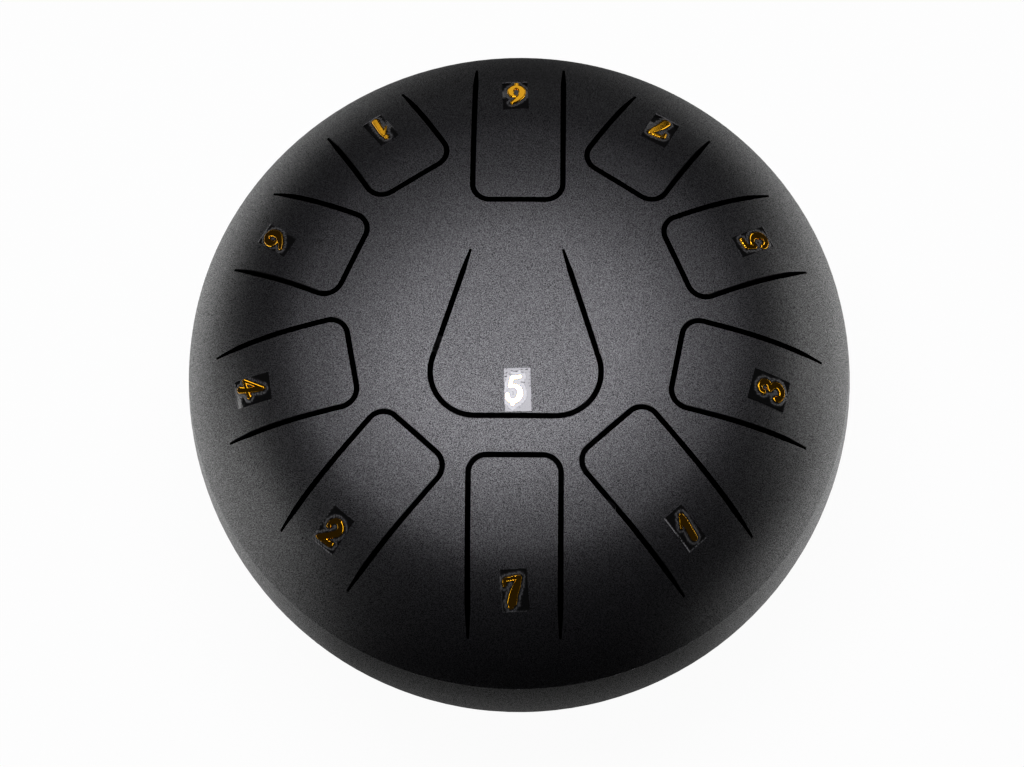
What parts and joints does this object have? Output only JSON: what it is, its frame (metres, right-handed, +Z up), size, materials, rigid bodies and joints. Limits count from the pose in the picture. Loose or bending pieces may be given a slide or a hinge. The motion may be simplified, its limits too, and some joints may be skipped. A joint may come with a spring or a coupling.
{
  "type": "steel tongue drum",
  "caption": "Low round black steel drum: pressed dome with U-cut note tongues and number stickers, welded to a barrel-sided bowl with a sound hole, on rubber feet.",
  "frame": {"origin": "on the ground under the middle of the drum, at the bottom of its feet", "axes": "+Z up the drum's axis, +Y towards the low 6 tongue at the back, +X to the player's right"},
  "size_m": [0.2539, 0.254, 0.1502],
  "materials": {
    "black_powder_coat": "satin powder coat, fine grain",
    "clear_film": "thin glossy clear film that shows the black coat",
    "gold_foil": "embossed gold foil of the numbers on the stickers",
    "black_rubber": "matte moulded rubber",
    "zinc_plate": "bright zinc plate",
    "nickel_plate": "nickel plate",
    "weld_steel": "bare weld bead, dulled by heat"
  },
  "bodies": {
    "root": {"top_shell": "black_powder_coat", "bottom_shell": "black_powder_coat", "seam_weld": "weld_steel", "tuning_magnet": "nickel_plate", "foot_screws": "zinc_plate", "foot_washers": "zinc_plate", "foot_nuts": "zinc_plate", "label_low_5": "clear_film", "label_low_6": "clear_film", "label_low_7": "clear_film", "label_mid_1": "clear_film", "label_mid_2": "clear_film", "label_mid_3": "clear_film", "label_mid_4": "clear_film", "label_mid_5": "clear_film", "label_mid_6": "clear_film", "label_mid_7": "clear_film", "label_high_1": "clear_film", "foot_back_right": "black_rubber", "foot_back_left": "black_rubber", "foot_front_left": "black_rubber", "foot_front_right": "black_rubber"}
  },
  "joints": []
}
